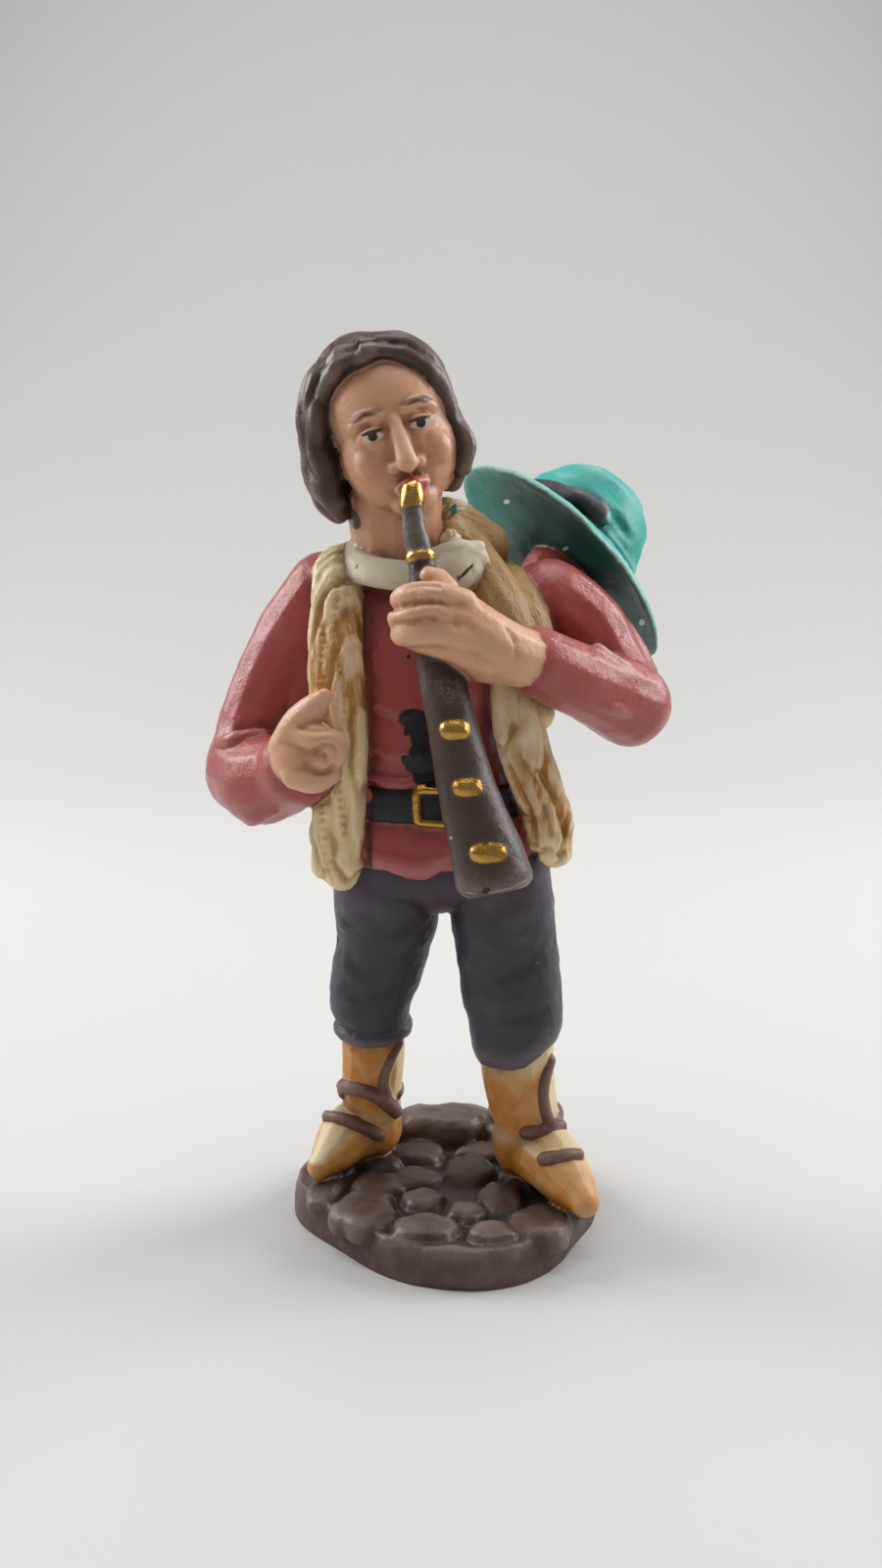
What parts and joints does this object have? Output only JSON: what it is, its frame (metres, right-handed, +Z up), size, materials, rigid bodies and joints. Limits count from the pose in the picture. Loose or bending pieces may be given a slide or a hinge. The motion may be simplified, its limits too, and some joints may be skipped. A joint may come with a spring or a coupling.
{
  "type": "nativity shepherd figurine",
  "caption": "Standing shepherd figurine playing a long pipe, hat slung on one shoulder, fleece waistcoat and breeches, on a round cobbled base, cast in one piece.",
  "frame": {"origin": "centre of the base's flat underside", "axes": "+Z up, the figure faces -Y, its own left side and the hat are towards +X"},
  "size_m": [0.0515, 0.0466, 0.0996],
  "materials": {
    "painted_terracotta": "hand painted, satin with glossy patches"
  },
  "bodies": {
    "root": {"shepherd_figure": "painted_terracotta"}
  },
  "joints": []
}
